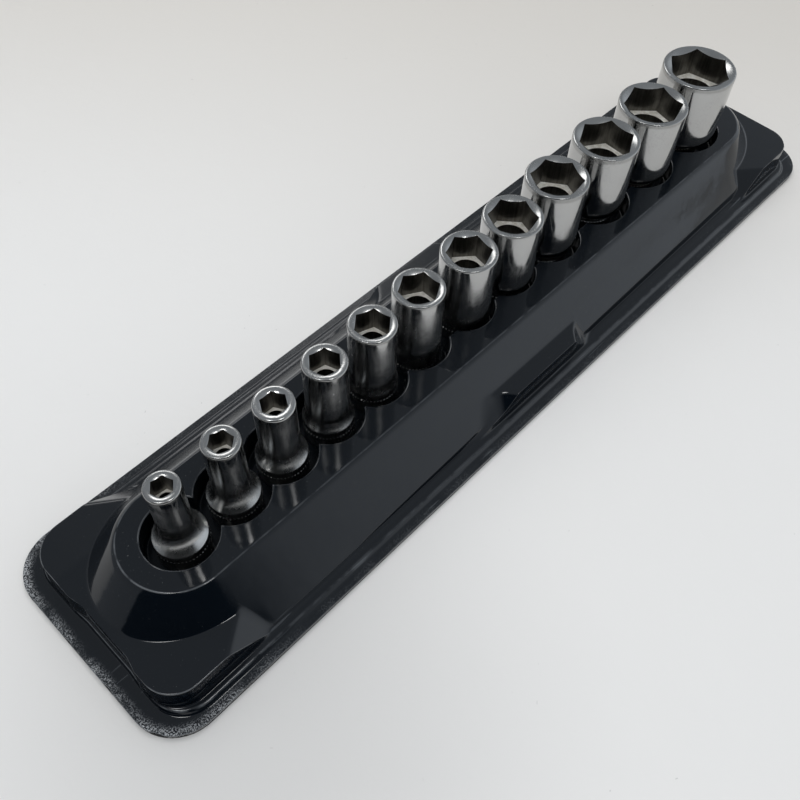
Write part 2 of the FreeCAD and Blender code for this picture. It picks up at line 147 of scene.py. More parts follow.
# How softly the faces run into each other.
SHELF_CORNER, SHELF_RIDGE, SHELF_BRINK, SHELF_FOOT = 1.5, 1.0, 0.7, 1.0
DECK_BRINK, DECK_FOOT = 0.9, 1.4


def face_height(face, x, side):
    at_x, at_side, height, fall_x, fall_side = face
    return height - fall_x * (x - at_x) - fall_side * (side - at_side)


def floor_height(x, y):
    """Height of the decks, the valley and the finger shelf outside the island."""
    side = abs(y)
    left, right = (soft_max(face_height(first, x, side), face_height(second, x, side), SHELF_CORNER)
                   for first, second in (SHELF_LEFT, SHELF_RIGHT))
    shelf = soft_min(soft_min(left, right, SHELF_RIDGE), SHELF_Z, SHELF_BRINK)
    deck = soft_min(face_height(LEFT_RAMP if x < 0 else RIGHT_RAMP, x, side), DECK_Z, DECK_BRINK)
    return soft_max(deck, soft_max(shelf, VALLEY_Z, SHELF_FOOT), DECK_FOOT)


def stations():
    """Lines across the sheet from the island out to the flange, counter-clockwise from the left front.
    Each is the point where it starts and the way it goes."""
    along = [-TURN_X + 2 * TURN_X * k / ALONG_STEPS for k in range(ALONG_STEPS + 1)]
    turn = [math.radians(-90 + 180 * k / TURN_STEPS) for k in range(1, TURN_STEPS)]
    near = [((x, 0), (0, -1)) for x in along]
    far = [((x, 0), (0, 1)) for x in reversed(along)]
    right = [((TURN_X, 0), (math.cos(angle), math.sin(angle))) for angle in turn]
    left = [((-TURN_X, 0), (-math.cos(angle), -math.sin(angle))) for angle in turn]
    return near + right + far + left


# The loops that every section crosses, from the island's top out to the cut edge.
RIM_HALF_X, RIM_HALF_Y, RIM_CORNER = 184.3, 43.0, 16.0
LOOPS = (
    in_crown(grow=0.0),
    in_crown(grow=1.3),
    in_skirt(32.2, 41.0, ((-141, 27.5), (-100, 28.0), (132.4, 28.6))),
    in_skirt(41.5, 45.3, ((-141, 34.6), (-136, 35.0), (-100, 35.0), (-71, 34.6), (-41, 34.3), (132.4, 32.8))),
    in_rounded(176.2, 36.0, 11.0, dent=1.2),
    in_rounded(176.9, 36.7, 11.7, dent=1.2),
    in_rounded(176.9, 38.7, 12.2, dent=0.6),
    in_rounded(177.6, 39.8, 13.0, dent=0.4),
    in_rounded(RIM_HALF_X, RIM_HALF_Y, RIM_CORNER, wander=0.5))
SKIRT_Z = ((-138, 3.7), (-100, 3.8), (-71, 5.05), (-41, 5.85), (134, 7.3))
PAST_SKIRT_FALL = 9                 # the side would fall this steeply beyond its foot
TOP_MARGIN = 0.9                    # the first ring lies this far inside the crown's edge

# The crease between side and floor: its softness, the two x where it is softer and how far each
# reaches, how far the close rings go to both sides of it, and the rings in each of the four runs.
CREASE_SOFT, SOFTER, SOFTER_AT = 0.7, 0.8, ((-29, 6), (-141, 9))
CREASE_BAND, RUN_STEPS = 2.6, (8, 12, 12, 14)
CLEAR_OF_BEVEL, CLEAR_OF_BRINK = 1.0, 0.5

# For each rounded edge, how far the rounding reaches from the corner and how strongly a highlight is painted
# along it.
EDGES = {"crown": (0.9, 1.0), "bevel": (0.9, 0.0), "brink": (0.8, 0.8), "wall": (0.5, 0.0),
         "step": (0.7, 0.7), "flange": (0.6, 0.0), "rim": (0.25, 1.0)}
ROUND_HIGHLIGHT = (0, 0.6, 1, 0.6, 0)    # share of the painted highlight across one rounded edge


def section(station):
    """The sheet's section along one station, as (distance, height, edge) from island to underside."""
    (ox, oy), (dx, dy) = station
    crown, bevel, side, skirt, brink, wall, step, drop, rim = (reach(station, loop) for loop in LOOPS)
    skirt_z = read_off(SKIRT_Z, ox)

    def slope(s):
        if s < side:
            return BEVEL_Z + (DECK_Z - BEVEL_Z) * (s - bevel) / (side - bevel)
        if s < skirt:
            return DECK_Z + (skirt_z - DECK_Z) * (s - side) / (skirt - side)
        return skirt_z - PAST_SKIRT_FALL * (s - skirt)

    def ground(s):
        return floor_height(ox + dx * s, oy + dy * s)

    crease = last_true(bevel, brink, lambda s: slope(s) > ground(s))
    x_crease = ox + dx * crease
    soft = CREASE_SOFT + sum(SOFTER * max(0, 1 - abs(x_crease - at) / width) for at, width in SOFTER_AT)
    near = max(bevel + CLEAR_OF_BEVEL, crease - CREASE_BAND)
    far = min(crease + CREASE_BAND, brink - CLEAR_OF_BRINK)
    stops = (bevel, near, crease, far, brink)
    knots = [(crown - TOP_MARGIN, CROWN_Z, None), (crown, CROWN_Z, "crown"), (bevel, BEVEL_Z, "bevel")]
    for start, stop, count in zip(stops, stops[1:], RUN_STEPS):
        for k in range(1, count + 1):
            s = start + (stop - start) * k / count
            knots.append((s, soft_max(slope(s), ground(s), soft), None))
    s, z, _ = knots.pop()
    return knots + [(s, z, "brink"), (wall, LEDGE_Z, "wall"), (step, LEDGE_Z, "step"),
                    (drop, FLANGE_TOP, "flange"), (rim, FLANGE_TOP, "rim"), (rim, UNDERSIDE, None)]


def rounded_corner(before, here, after, size, steps):
    """A short bend in place of the corner at here, which takes up less than half of each side."""
    here = Vector(here)
    back, on = Vector(before) - here, Vector(after) - here
    cut = min(size, back.length * 0.45, on.length * 0.45)
    start, stop = here + back.normalized() * cut, here + on.normalized() * cut
    bend = []
    for k in range(steps + 1):
        t = k / steps
        bend.append(tuple(start * (1 - t) ** 2 + here * 2 * t * (1 - t) + stop * t ** 2))
    return bend


def rounded_section(knots):
    """Every named corner of the section becomes a short bend, and each point gets its share of the painted
    highlight.
    """
    points = []
    for index, (s, z, edge) in enumerate(knots):
        if edge is None:
            points.append((s, z, 0.0))
            continue
        size, edge_highlight = EDGES[edge]
        bend = rounded_corner(knots[index - 1][:2], (s, z), knots[index + 1][:2], size, len(ROUND_HIGHLIGHT) - 1)
        points += [(x, y, edge_highlight * share) for (x, y), share in zip(bend, ROUND_HIGHLIGHT)]
    return points


def select_none():
    if bpy.context.object and bpy.context.object.mode != "OBJECT":
        bpy.ops.object.mode_set(mode="OBJECT")
    bpy.ops.object.select_all(action="DESELECT")


def only(piece):
    select_none()
    piece.select_set(True)
    bpy.context.view_layer.objects.active = piece


def named(name):
    """The primitive that was just added, under its own name."""
    piece = bpy.context.object
    piece.name = piece.data.name = name
    return piece


def join_to(piece, other):
    only(piece)
    other.select_set(True)
    bpy.ops.object.join()


def weigh_normals(piece, keep_sharp):
    """The large faces lead the shading, so they look flat right up to their rounded edges."""
    weigh = piece.modifiers.new("faces_lead", "WEIGHTED_NORMAL")
    weigh.weight, weigh.keep_sharp = 60, keep_sharp
    bpy.ops.object.modifier_apply(modifier=weigh.name)


def place_ring(piece, points, edge_highlight):
    """Put the ring that the last extrusion left selected at its points, with the strength of its painted
    highlight.
    """
    mesh = bmesh.from_edit_mesh(piece.data)
    station, paler_marks = mesh.verts.layers.int["station"], mesh.verts.layers.float["paler_marks"]
    for vertex in mesh.verts:
        if vertex.select:
            vertex.co = points[vertex[station] - 1]
            vertex[paler_marks] = edge_highlight
    bmesh.update_edit_mesh(piece.data)


def loft(name, rings, edge_highlights):
    """A skin from ring to ring, closed by one flat face at the last."""
    select_none()
    bpy.ops.mesh.primitive_circle_add(vertices=len(rings[0]), radius=0.02)
    piece = named(name)
    bpy.ops.object.mode_set(mode="EDIT")
    mesh = bmesh.from_edit_mesh(piece.data)
    mesh.verts.layers.int.new("station")
    # This layer holds how strongly each point carries the painted highlight.
    mesh.verts.layers.float.new("paler_marks")
    station = mesh.verts.layers.int["station"]      # only now, since adding a layer moves the others
    for number, vertex in enumerate(mesh.verts, 1):
        vertex[station] = number
    bmesh.update_edit_mesh(piece.data)
    bpy.ops.mesh.select_all(action="SELECT")
    place_ring(piece, rings[0], edge_highlights[0])
    for ring, edge_highlight in zip(rings[1:], edge_highlights[1:]):
        bpy.ops.mesh.extrude_edges_move()
        place_ring(piece, ring, edge_highlight)
    bpy.ops.mesh.edge_face_add()
    bpy.ops.object.mode_set(mode="OBJECT")
    return piece


rays = stations()
sections = [rounded_section(section(ray)) for ray in rays]
rings = []
for level in range(len(sections[0])):
    ring = []
    for ((ox, oy), (dx, dy)), line in zip(rays, sections):
        s, z, _ = line[level]
        ring.append(Vector(((ox + dx * s) * MM, (oy + dy * s) * MM, z * MM)))
    rings.append(ring)
tray = loft("formed_tray", rings, [edge_highlight for _, _, edge_highlight in sections[0]])

# The pockets, as x and radius, and half the width of the slot that joins them along the row. The
# lip is given as how much wider than the pocket it is, how far below the top, and its painted highlight;
# the wall below it and the rounding into the floor as how much wider than the pocket, and the height.
POCKETS = ((-141.2, 12.3), (-120.3, 12.3), (-100.1, 12.3), (-79.05, 12.3), (-58.1, 12.3), (-36.4, 12.3),
           (-11.6, 12.3), (12.0, 12.3), (37.9, 13.4), (68.55, 14.63), (99.2, 15.0), (132.4, 16.24))
CHANNEL, POCKET_Z = 6.8, 15.5
END_STEPS, MIDDLE_STEPS = 48, 30
LIP = ((0.75, 0.0, 0.0), (0.55, 0.02, 0.0), (0.36, 0.09, 1.0), (0.2, 0.2, 1.0), (0.09, 0.36, 1.0),
       (0.02, 0.55, 0.0), (0.0, 0.8, 0.0))
CUP_FOOT = ((-0.05, 17.0), (-0.1, 16.3), (-0.3, 15.8), (-0.6, 15.57), (-1.0, POCKET_Z))


def meet(gap, first, second, channel):
    """The angles at which two neighbouring pockets meet each other or the slot between them."""
    if first + second > gap:
        at = (gap * gap + first * first - second * second) / (2 * gap)
        height = math.sqrt(max(first * first - at * at, 0))
        if height > channel:
            return math.asin(height / first), math.asin(height / second)
    return math.asin(channel / first), math.asin(channel / second)


def pocket_outline(grow):
    """The pockets and the slot as one outline that is grown by a little, with the same points each time."""
    upper = []
    last = len(POCKETS) - 1
    for index, (x, radius) in enumerate(POCKETS):
        size = radius + grow
        start, stop = math.pi, 0.0
        if index > 0:
            before_x, before = POCKETS[index - 1]
            start = math.pi - meet(x - before_x, before + grow, size, CHANNEL + grow)[1]
        if index < last:
            after_x, after = POCKETS[index + 1]
            stop = meet(after_x - x, size, after + grow, CHANNEL + grow)[0]
        count = END_STEPS if index in (0, last) else MIDDLE_STEPS
        for k in range(count + 1):
            angle = start + (stop - start) * k / count
            upper.append((x + size * math.cos(angle), size * math.sin(angle)))
    lower = [(x, -y) for x, y in reversed(upper[1:-1])]
    return upper + lower


def in_pockets(x, y):
    grow = LIP[0][0]
    if POCKETS[0][0] < x < POCKETS[-1][0] and abs(y) < CHANNEL + grow:
        return True
    return any(math.hypot(x - at, y) < radius + grow for at, radius in POCKETS)


levels = [(grow, CROWN_Z - fall, edge_highlight) for grow, fall, edge_highlight in LIP]
levels += [(grow, z, 0.0) for grow, z in CUP_FOOT]
loops = [[Vector((x * MM, y * MM, z * MM)) for x, y in pocket_outline(grow)] for grow, z, _ in levels]
cups = loft("cup_walls", loops, [edge_highlight for _, _, edge_highlight in levels])
join_to(tray, cups)


def blank(name):
    """A piece with an empty mesh, left in edit mode."""
    select_none()
    bpy.ops.mesh.primitive_circle_add(vertices=3, radius=0.001)
    piece = named(name)
    bpy.ops.object.mode_set(mode="EDIT")
    bpy.ops.mesh.select_all(action="SELECT")
    bpy.ops.mesh.delete(type="VERT")
    return piece


def ring_edges(first, count):
    """Pairs of numbers that go once round a ring of points."""
    return [(first + k, first + (k + 1) % count) for k in range(count)]


# The flat top of the island joins the crown's edge to the lip of the pockets.
INSIDE_BORDERS = 1                  # the kind of triangulation that stays inside the borders
SAME_SPOT = 1e-9
flat = [point.xy for point in rings[0] + loops[0]]
borders = ring_edges(0, len(rings[0])) + ring_edges(len(rings[0]), len(loops[0]))
spots, _, triangles, _, _, _ = delaunay_2d_cdt(flat, borders, [], INSIDE_BORDERS, SAME_SPOT)
top = blank("island_top")
mesh = bmesh.from_edit_mesh(top.data)
corners = [mesh.verts.new((x, y, CROWN_Z * MM)) for x, y in spots]
for triangle in triangles:
    middle = sum((spots[k] for k in triangle), Vector((0, 0))) / 3 / MM
    if not in_pockets(middle.x, middle.y):
        mesh.faces.new([corners[k] for k in triangle])
bmesh.update_edit_mesh(top.data)
join_to(tray, top)

bpy.ops.object.mode_set(mode="EDIT")
bpy.ops.mesh.select_all(action="SELECT")
bpy.ops.mesh.remove_doubles(threshold=MERGE * MM)
bpy.ops.mesh.delete_loose()
bpy.ops.mesh.select_all(action="SELECT")
bpy.ops.mesh.normals_make_consistent(inside=False)
bpy.ops.object.mode_set(mode="OBJECT")
tray.data.attributes.remove(tray.data.attributes["station"])
bpy.ops.object.shade_smooth()
weigh_normals(tray, keep_sharp=False)
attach(tray, "tray")
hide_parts("tray_shell")


class Value:
    """A shader socket that takes Python's own arithmetic."""

    def __init__(self, maker, socket):
        self.maker, self.socket = maker, socket

    def _with(self, operation, other, swapped=False):
        values = (other, self) if swapped else (self, other)
        return self.maker.node("ShaderNodeMath", {"operation": operation}, dict(enumerate(values)))[0]

    def __add__(self, other):
        return self._with("ADD", other)

    def __radd__(self, other):
        return self._with("ADD", other, True)

    def __sub__(self, other):
        return self._with("SUBTRACT", other)

    def __rsub__(self, other):
        return self._with("SUBTRACT", other, True)

    def __mul__(self, other):
        return self._with("MULTIPLY", other)

    def __rmul__(self, other):
        return self._with("MULTIPLY", other, True)

    def __truediv__(self, other):
        return self._with("DIVIDE", other)

    def __pow__(self, other):
        return self._with("POWER", other)

    def __abs__(self):
        return self._with("ABSOLUTE", 0.0)

    def above_zero(self):
        return self._with("MAXIMUM", 0.0)


class Outputs:
    """The outputs of a node, by name or number, ready for arithmetic."""

    def __init__(self, maker, made):
        self.maker, self.made = maker, made

    def __getitem__(self, name):
        return Value(self.maker, self.made.outputs[name])


class Finish:
    """A material, or the world, with one surface shader and the nodes that feed it."""

    def __init__(self, name, world=None):
        self.material = world or bpy.data.materials.new(name)
        self.material.use_nodes = True
        self.tree = self.material.node_tree
        self.surface = self.tree.nodes["Background" if world else "Principled BSDF"]
        self.place = self.node("ShaderNodeTexCoord")["Generated" if world else "Object"]

    def node(self, kind, settings=None, inputs=None):
        """Adds a node: its settings first, then the values or links of its sockets."""
        made = self.tree.nodes.new(kind)
        for name, value in (settings or {}).items():
            setattr(made, name, value)
        for name, value in (inputs or {}).items():
            self.feed(made.inputs[name], value)
        return Outputs(self, made)

    def feed(self, socket, value):
        if isinstance(value, Value):
            self.tree.links.new(value.socket, socket)
        else:
            socket.default_value = value

    def set(self, **inputs):
        for name, value in inputs.items():
            self.feed(self.surface.inputs[name.replace("_", " ")], value)

    def noise(self, scale, detail=2.0, roughness=0.5, stretch=None):
        where = self.place
        if stretch:
            where = self.node("ShaderNodeMapping", {}, {"Vector": where, "Scale": stretch})["Vector"]
        return self.node("ShaderNodeTexNoise", {}, {"Vector": where, "Scale": scale, "Detail": detail,
                                                    "Roughness": roughness})["Fac"]

    def between(self, value, low, high):
        """0 below low, 1 above high, smooth between them."""
        return self.node("ShaderNodeMapRange", {"interpolation_type": "SMOOTHSTEP"},
                         {"Value": value, "From Min": low, "From Max": high})["Result"]

    def blend(self, factor, first, second):
        mixed = self.node("ShaderNodeMix", {"data_type": "RGBA"}, {"Factor": factor})
        for name, colour in (("A_Color", first), ("B_Color", second)):
            socket = next(s for s in mixed.made.inputs if s.identifier == name)
            self.feed(socket, colour)
        return Value(self, next(s for s in mixed.made.outputs if s.identifier == "Result_Color"))

    def apart(self):
        """The three coordinates of the surface, as single values."""
        parts = self.node("ShaderNodeSeparateXYZ", {}, {"Vector": self.place})
        return parts["X"], parts["Y"], parts["Z"]

    def bump(self, height, distance):
        return self.node("ShaderNodeBump", {}, {"Height": height, "Distance": distance})["Normal"]


# Glossy black, with scuffs on the flange's edge, streaks low down, a painted highlight along the rounded
# edges and pocket lips, and some dust. Scuffs and the painted highlight are heavier at the small end, and
# streaks lighter on the far side, where the sheet is drawn tight and is a little less glossy.
SHEET_BLACK, SCUFF_GREY = (0.0022, 0.0040, 0.0066, 1), (0.44, 0.45, 0.46, 1)
STREAK_GREY, HIGHLIGHT_GREY, DUST_GREY = (0.11, 0.12, 0.13, 1), (0.22, 0.23, 0.24, 1), (0.22, 0.22, 0.21, 1)
black = Finish("glossy_black_sheet")
sheet_x, sheet_y, sheet_z = black.apart()
past_x = (abs(sheet_x) - (RIM_HALF_X - RIM_CORNER) * MM).above_zero()
past_y = (abs(sheet_y) - (RIM_HALF_Y - RIM_CORNER) * MM).above_zero()
from_corner = (past_x * past_x + past_y * past_y) ** 0.5
small_end = black.between(0 - sheet_x, 0.132, 0.178)
on_flange = black.between(from_corner, 0.0105, 0.0150) * (1 - black.between(sheet_z, 0.0030, 0.0040))
near_rim = black.between(from_corner, 0.0118, 0.0157)
patches = black.between(black.noise(70, 4.0, 0.65), 0.32, 0.62)
grit = black.between(black.noise(2700, 1.5, 0.6), 0.43, 0.66)
scuffs = on_flange * near_rim * patches * grit * (0.10 + small_end * 0.90)
low_down = 1 - black.between(sheet_z, 0.0036, 0.0050)
near_half = 1 - black.between(sheet_y, 0.0, 0.015) * 0.9
streaks = black.between(black.noise(800, 2.0, 0.6, stretch=(0.04, 1.0, 1.0)), 0.64, 0.72)
along = streaks * black.between(black.noise(60, 2.0), 0.46, 0.62) * low_down * near_half
dust = (black.between(black.noise(2100, 1.0, 0.5), 0.745, 0.80)
        * black.between(black.noise(23, 2.0), 0.42, 0.66))
haze = black.between(black.noise(22, 4.0, 0.6), 0.42, 0.72)
# Pale lines along the rounded edges and pocket lips, stronger at the small end: a painted highlight.
edge_highlight_attribute = black.node("ShaderNodeAttribute", {"attribute_name": "paler_marks"})["Fac"]
edge_highlight_mask = edge_highlight_attribute * (0.25 + small_end * 0.75) * black.between(black.noise(160, 3.0, 0.6), 0.30, 0.62)
worn = black.blend(scuffs, SHEET_BLACK, SCUFF_GREY)
worn = black.blend(along * 0.45, worn, STREAK_GREY)
worn = black.blend(edge_highlight_mask * 0.75, worn, HIGHLIGHT_GREY)
worn = black.blend(dust * 0.45, worn, DUST_GREY)
drawn_tight = black.between(sheet_y, 0.0185, 0.0215)
ripple = black.noise(120, 2.0, 0.45) * (1 - drawn_tight * 0.8)
rough = 0.055 + haze * 0.05 + scuffs * 0.45 + along * 0.25 + edge_highlight_mask * 0.15 + drawn_tight * 0.15
black.set(Base_Color=worn, Roughness=rough, IOR=1.5, Normal=black.bump(ripple + scuffs, 0.00005))
tray.data.materials.append(black.material)

# The pocket walls take a darker, less reflective copy of the black sheet: painted shade inside the pockets.
PIT_SHADE_BLACK, PIT_SHADE_GREY = (0.0012, 0.0020, 0.0032, 1), (0.0028, 0.0044, 0.0064, 1)
PIT_HALF_WIDTH = 16.3
pocket_shade = Finish("shaded_black_pocket")
stretched = pocket_shade.noise(300, 3.0, 0.6, stretch=(1.0, 1.0, 0.25))
pocket_shade.set(Base_Color=pocket_shade.blend(stretched, PIT_SHADE_BLACK, PIT_SHADE_GREY), Roughness=0.10 + stretched * 0.10, IOR=1.22,
        Normal=pocket_shade.bump(stretched, 0.00004))
tray.data.materials.append(pocket_shade.material)
for face in tray.data.polygons:
    middle = face.center / MM
    in_height = POCKET_Z - 0.1 < middle.z < BEVEL_Z + 0.1
    if in_height and abs(middle.y) < PIT_HALF_WIDTH and in_pockets(middle.x, middle.y):
        face.material_index = 1

# ---------------------------------------------------------------- the sockets
# Forged and turned steel, plated with polished chrome: a round nose with a hexagon, and a
# drive end with a square hole. Small ones narrow above the drive end, wide ones widen above it.

# Each stands in its pocket, with its own y, size across flats, nose diameter, length, depth of
# the hexagon, and turn in degrees.
SOCKETS = (
    (-0.2, 6.35, 11.00, 38.7, 8.0, 21.4),
    (-0.4, 7.14, 12.06, 38.8, 8.4, 10.5),
    (-0.3, 7.94, 13.39, 37.3, 8.8, 30.0),
    (-0.2, 9.53, 14.82, 38.1, 9.2, 18.9),
    (-0.1, 11.11, 16.45, 38.4, 9.7, 10.2),
    (-0.1, 12.70, 18.05, 38.3, 10.0, -0.3),
    (-0.4, 14.29, 20.25, 37.6, 10.3, -9.9),
    (-0.3, 15.88, 21.98, 38.0, 10.6, -19.7),
    (0.5, 17.46, 23.95, 39.3, 10.9, -25.3),
    (0.8, 19.05, 25.85, 39.2, 11.1, -3.5),
    (0.4, 20.64, 27.41, 38.9, 11.4, -15.2),
    (0.4, 22.23, 29.87, 39.1, 11.6, 8.1))
SOCKET_Z = 15.55
DRIVE_END, WIDE_FOOT = 17.6, 19.6   # diameter of the drive end, and at most this in wide sockets
WIDE_FOOT_TOP, SHOULDER_Z = 5.8, 9.8
NECK = 9                            # radius of the hollow above the drive end of a small socket
FOOT_ROUND, WIDE_FOOT_ROUND, RIM_ROUND = 0.5, 0.6, 0.95
LEAD_IN, DISH = 0.25, 0.58          # the dished top: wider than the hexagon by, and depth for its radius
SPIN_STEPS = 96
OUTSIDE = 5                         # everything farther from the axis than this is on the outside
TOOTH_PITCH, TOOTH_INSET, TOOTH_HEIGHT = 7.5, 0.14, 0.16
HEXAGON_ROUND = 0.35
DRIVE_SQUARE, DRIVE_TOP = 9.6, 11
BORE_SHARE, BORE_FOOT = 0.4, 13.5   # the round bore below the hexagon, its radius as a share of the flats
LINK_RADIUS, LINK_ENDS = 2.3, (9.25, 15.25)
PAST_TOP, PAST_STEP, PAST_BASE = 10, 0.5, 1     # how far the cutters run past what they open
SHARP_ANGLE = math.radians(32)


def arc(centre, radius, start, stop, steps):
    """Points on an arc in the section plane, with angles in degrees."""
    angles = [math.radians(start + (stop - start) * k / steps) for k in range(steps + 1)]
    return [(centre[0] + radius * math.cos(angle), centre[1] + radius * math.sin(angle)) for angle in angles]


def smooth_run(points, size, steps):
    """Round each inner corner of a section line."""
    found = [points[0]]
    for before, here, after in zip(points, points[1:], points[2:]):
        found += rounded_corner(before, here, after, size, steps)
    return found + [points[-1]]


def turned_piece(name, line):
    """Spin a section line, given as (radius, height) in millimetres, about the upright axis."""
    piece = blank(name)
    mesh = bmesh.from_edit_mesh(piece.data)
    knots = [mesh.verts.new((r * MM, 0, z * MM)) for r, z in line]
    for first, second in zip(knots, knots[1:]):
        mesh.edges.new((first, second))
    bmesh.update_edit_mesh(piece.data)
    bpy.ops.mesh.select_all(action="SELECT")
    bpy.ops.mesh.spin(steps=SPIN_STEPS, angle=math.tau, center=(0, 0, 0), axis=(0, 0, 1))
    bpy.ops.mesh.select_all(action="SELECT")
    bpy.ops.mesh.remove_doubles(threshold=MERGE * MM)
    bpy.ops.mesh.normals_make_consistent(inside=False)
    bpy.ops.object.mode_set(mode="OBJECT")
    return piece


def cutter(name, sides, radius, low, high, turn=0.0):
    """An upright prism between two heights, to be cut out of a socket."""
    bpy.ops.mesh.primitive_cylinder_add(vertices=sides, radius=radius * MM, depth=(high - low) * MM,
                                        location=(0, 0, (low + high) / 2 * MM), rotation=(0, 0, turn))
    return named(name)


def round_uprights(piece):
    """The upright edges of the prism get a small rounding."""
    bpy.ops.object.mode_set(mode="EDIT")
    bpy.ops.mesh.select_all(action="DESELECT")
    mesh = bmesh.from_edit_mesh(piece.data)
    for edge in mesh.edges:
        edge.select_set(abs(edge.verts[0].co.z - edge.verts[1].co.z) > MM)
    bmesh.update_edit_mesh(piece.data)
    bpy.ops.mesh.bevel(offset=HEXAGON_ROUND * MM, segments=3)
    bpy.ops.object.mode_set(mode="OBJECT")


def cut_away(piece, prism):
    only(piece)
    cut = piece.modifiers.new("cut", "BOOLEAN")
    cut.operation, cut.solver, cut.object = "DIFFERENCE", "EXACT", prism
    bpy.ops.object.modifier_apply(modifier=cut.name)
    bpy.data.objects.remove(prism)


def knurl_band(nose):
    """The two heights between which the drive end is knurled."""
    return (4.55, 5.15) if nose > DRIVE_END else (6.5, 7.1)


def banded(line, low, high):
    """The section line with two more points where the knurl's band starts and stops."""
    found = []
    for (r0, z0), (r1, z1) in zip(line, line[1:]):
        found.append((r0, z0))
        if min(r0, r1) > OUTSIDE and z0 < low and z1 > high:
            found += [(r0 + (r1 - r0) * (z - z0) / (z1 - z0), z) for z in (low, high)]
    return found + [line[-1]]


def raise_knurl(piece, low, high):
    """Every second face of the band becomes a small raised tooth."""
    only(piece)
    bpy.ops.object.mode_set(mode="EDIT")
    bpy.ops.mesh.select_all(action="DESELECT")
    bpy.ops.mesh.select_mode(type="FACE")
    mesh = bmesh.from_edit_mesh(piece.data)
    for face in mesh.faces:
        middle = face.calc_center_median() / MM
        angle = math.degrees(math.atan2(middle.y, middle.x)) % TOOTH_PITCH
        if low < middle.z < high and math.hypot(middle.x, middle.y) > OUTSIDE and angle < TOOTH_PITCH / 2:
            face.select_set(True)
    bmesh.update_edit_mesh(piece.data)
    bpy.ops.mesh.inset(thickness=TOOTH_INSET * MM, depth=TOOTH_HEIGHT * MM, use_individual=True)
    bpy.ops.mesh.select_mode(type="VERT")
    bpy.ops.object.mode_set(mode="OBJECT")


def socket_section(flats, nose, length):
    """From the middle of the base, round the outside, to the middle of the dished top."""
    radius, lead = nose / 2, flats / math.sqrt(3) + LEAD_IN
    rim = [(radius, length), (lead, length)]
    if nose > DRIVE_END:
        foot = min(WIDE_FOOT, nose) / 2
        taper = [(foot, WIDE_FOOT_TOP), (radius, SHOULDER_Z)]
        lower = smooth_run([(0, 0), (foot, 0)] + taper, WIDE_FOOT_ROUND, steps=5)
        upper = smooth_run(taper + rim, RIM_ROUND, steps=6)
        outside = lower[:-1] + upper[1:]
    else:
        foot = DRIVE_END / 2
        rise = math.sqrt(2 * NECK * (foot - radius) - (foot - radius) ** 2)
        start = math.degrees(math.asin(min(rise / NECK, 1)))
        hollow = arc((radius + NECK, SHOULDER_Z + rise), NECK, 180 + start, 180, steps=10)
        lower = smooth_run([(0, 0), (foot, 0), (foot, SHOULDER_Z), hollow[1]], FOOT_ROUND, steps=5)
        upper = smooth_run([hollow[-1]] + rim, RIM_ROUND, steps=6)
        outside = lower[:-1] + hollow[1:] + upper[1:]
    return banded(outside, *knurl_band(nose)) + [(0, length - lead * DISH)]


# Three finishes: polished chrome outside, duller below the rim of the small sockets where they are handled,
# and darker toward the drive end as painted shade where the socket stands in its pocket; a dark copy inside,
# painted shade over streaks of broaching; and a pale, nearly white step at the hexagon's foot, a painted
# highlight.
CHROME_BRIGHT, CHROME_DULL_AND_SHADED = (0.48, 0.48, 0.475, 1), (0.26, 0.26, 0.25, 1)
BORE_DARK, BORE_LIGHT = (0.075, 0.072, 0.066, 1), (0.180, 0.173, 0.158, 1)
SEAT_DARK, SEAT_LIGHT = (0.74, 0.70, 0.61, 1), (0.97, 0.94, 0.86, 1)
chrome = Finish("polished_chrome")
plate_x, _, plate_z = chrome.apart()
smudge = chrome.between(chrome.noise(95, 4.0, 0.65), 0.40, 0.68)
drawn = chrome.noise(900, 3.0, 0.6, stretch=(1.0, 1.0, 0.07))
speckle = chrome.between(chrome.noise(1500, 2.0, 0.6), 0.50, 0.68)
handled = (1 - chrome.between(plate_x, -0.045, 0.020)) * (1 - chrome.between(plate_z, 0.046, 0.0525))
# Darker and rougher from just above the pocket's mouth down to the drive end: painted shade, mottled by
# smudges.
low_shade = (1 - chrome.between(plate_z, 0.0255, 0.0330)) * (0.35 + smudge * 0.65)
at_rim = chrome.between(plate_z, 0.0522, 0.0532)
dulled_and_shaded = chrome.blend(low_shade * 0.62 + at_rim * 0.50 + smudge * speckle * 0.30, CHROME_BRIGHT, CHROME_DULL_AND_SHADED)
rough = 0.08 + handled * 0.11 + smudge * 0.08 + (drawn - 0.5) * 0.12 + low_shade * 0.07 + at_rim * 0.13
chrome.set(Base_Color=dulled_and_shaded, Metallic=1.0, Roughness=rough,
           Normal=chrome.bump(drawn * 0.5 + chrome.noise(60, 2.0), 0.00003))
# A dark copy of the chrome for the walls of the holes: painted shade inside them, over real broaching streaks
# and stains.
bore = Finish("shaded_bore_plating")
broached = bore.noise(1100, 3.0, 0.7, stretch=(1.0, 1.0, 0.045))
stain = bore.between(bore.noise(120, 3.0, 0.6), 0.42, 0.66)
bore_colour = bore.blend(bore.between(broached, 0.36, 0.66) * 0.55 + stain * 0.45, BORE_DARK, BORE_LIGHT)
bore.set(Base_Color=bore_colour, Metallic=1.0, Roughness=0.24 + broached * 0.16,
         Normal=bore.bump(broached, 0.00006))
# A pale, nearly white step at the hexagon's foot: a painted highlight.
seat = Finish("step_painted_highlight")
mottle = seat.noise(500, 3.0, 0.6)
seat_colour = seat.blend(seat.between(mottle, 0.35, 0.65), SEAT_DARK, SEAT_LIGHT)
seat.set(Base_Color=seat_colour, Metallic=0.10, Roughness=0.42, Normal=seat.bump(mottle, 0.00003))

